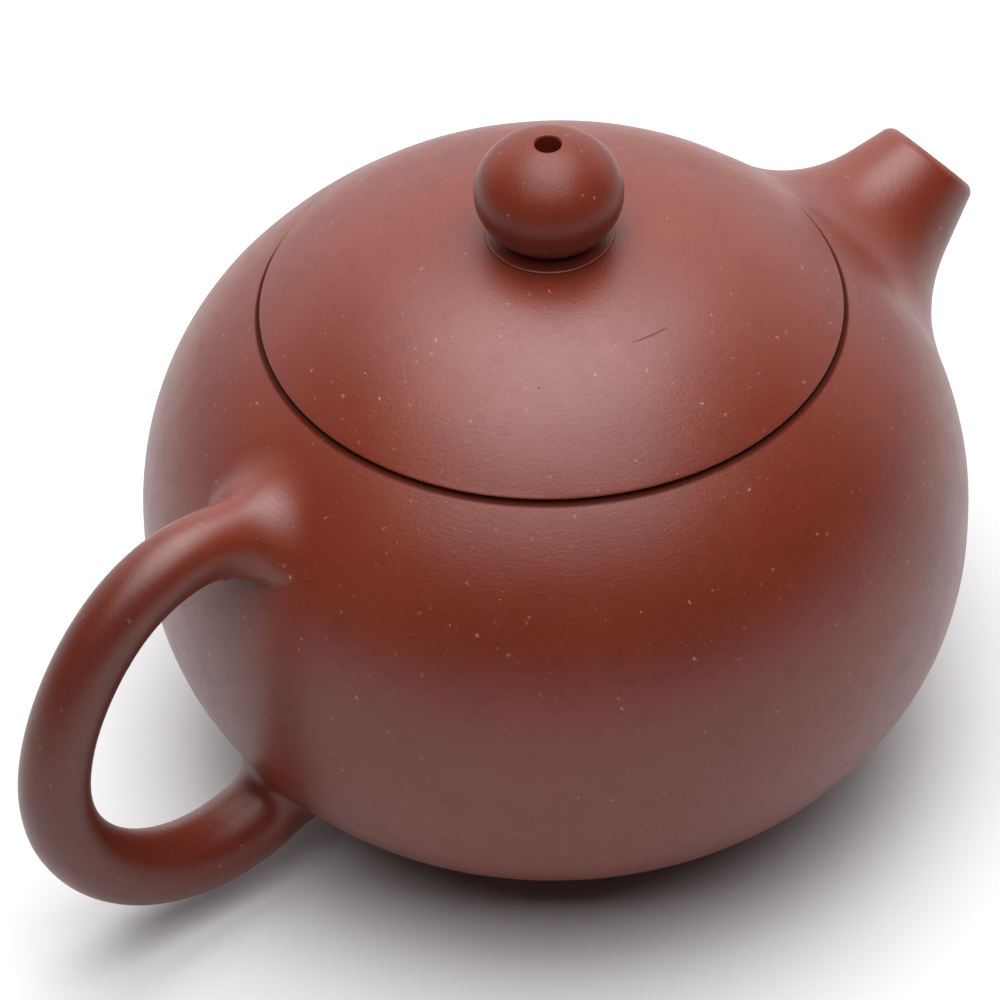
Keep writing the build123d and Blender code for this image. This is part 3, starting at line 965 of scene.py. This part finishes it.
def add_softbox(name, place, size, power):
    """A soft rectangular light above the pot, facing straight down and turned with the camera."""
    data = bpy.data.lights.new(name, "AREA")
    data.shape = "RECTANGLE"
    data.size, data.size_y = size
    data.energy = power
    light = bpy.data.objects.new(name, data)
    light.location = place
    light.rotation_euler = (0, 0, math.radians(CAMERA_AZIMUTH))
    bpy.context.scene.collection.objects.link(light)


def make_camera():
    azimuth, elevation = math.radians(CAMERA_AZIMUTH), math.radians(CAMERA_ELEVATION)
    level = math.cos(elevation)
    outward = Vector((math.sin(azimuth) * level, -math.cos(azimuth) * level, math.sin(elevation)))
    data = bpy.data.cameras.new("camera")
    data.lens = CAMERA_LENS
    data.sensor_width = CAMERA_SENSOR
    data.clip_start = 0.05
    camera = bpy.data.objects.new("camera", data)
    camera.location = Vector((0, 0, BELLY_HEIGHT * MM)) + outward * CAMERA_DISTANCE
    look = (Vector(CAMERA_AIM) - camera.location).to_track_quat("-Z", "Y").to_matrix().to_4x4()
    roll = Matrix.Rotation(math.radians(CAMERA_ROLL), 4, "Z")
    camera.matrix_world = Matrix.Translation(camera.location) @ look @ roll
    bpy.context.scene.collection.objects.link(camera)
    bpy.context.scene.camera = camera


def make_surroundings():
    """Soft surroundings: bright behind the pot, as a pale wall would be, and dim on the camera's side."""
    world = bpy.data.worlds.new("studio")
    bpy.context.scene.world = world
    world.use_nodes = True
    n = Nodes(world.node_tree)
    view = n.add("TexCoord").outputs["Generated"]
    away = n.add("VectorMath", {0: view, 1: AWAY_FROM_CAMERA}, operation="DOT_PRODUCT").outputs["Value"]
    strength = n.ramp(away, 0.1, 0.8, SKY_DIM, SKY_BRIGHT)
    background = world.node_tree.nodes["Background"]
    background.inputs["Color"].default_value = SKY_COLOUR
    world.node_tree.links.new(strength, background.inputs["Strength"])


make_floor()
add_softbox("overhead", (-0.012, -0.016, 0.56), (0.64, 0.80), power=5.0)
add_softbox("overhead_core", (0.03, 0.04, 0.58), (0.34, 0.44), power=1.5)
make_camera()
make_surroundings()
bpy.context.scene.view_settings.view_transform = "Standard"
